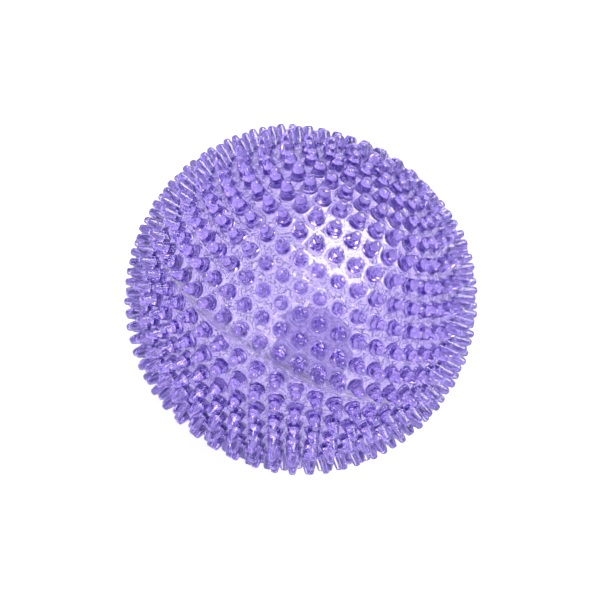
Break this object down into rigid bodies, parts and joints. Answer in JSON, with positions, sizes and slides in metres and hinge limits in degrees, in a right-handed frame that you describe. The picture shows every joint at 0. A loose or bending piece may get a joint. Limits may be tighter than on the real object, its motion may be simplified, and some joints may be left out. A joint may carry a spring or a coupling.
{
  "type": "spiked massage ball",
  "caption": "Hollow see-through soft plastic massage ball covered in short tapered spikes, made of two half shells joined at an equator seam.",
  "frame": {"origin": "centre of the ball, which is the centre of its box", "axes": "+Z through the pole of the upper shell, square to the seam plane; +Y through the meridian where the rings of spikes start"},
  "size_m": [0.0898, 0.0898, 0.0869],
  "materials": {
    "clear_violet_plastic": "glossy see-through violet soft plastic, fine frosted grain on the inner wall",
    "seam_cement": "clear cement, slightly raised and glossy"
  },
  "bodies": {
    "root": {"upper_shell": "clear_violet_plastic", "lower_shell": "clear_violet_plastic", "glue_ring": "seam_cement"}
  },
  "joints": []
}
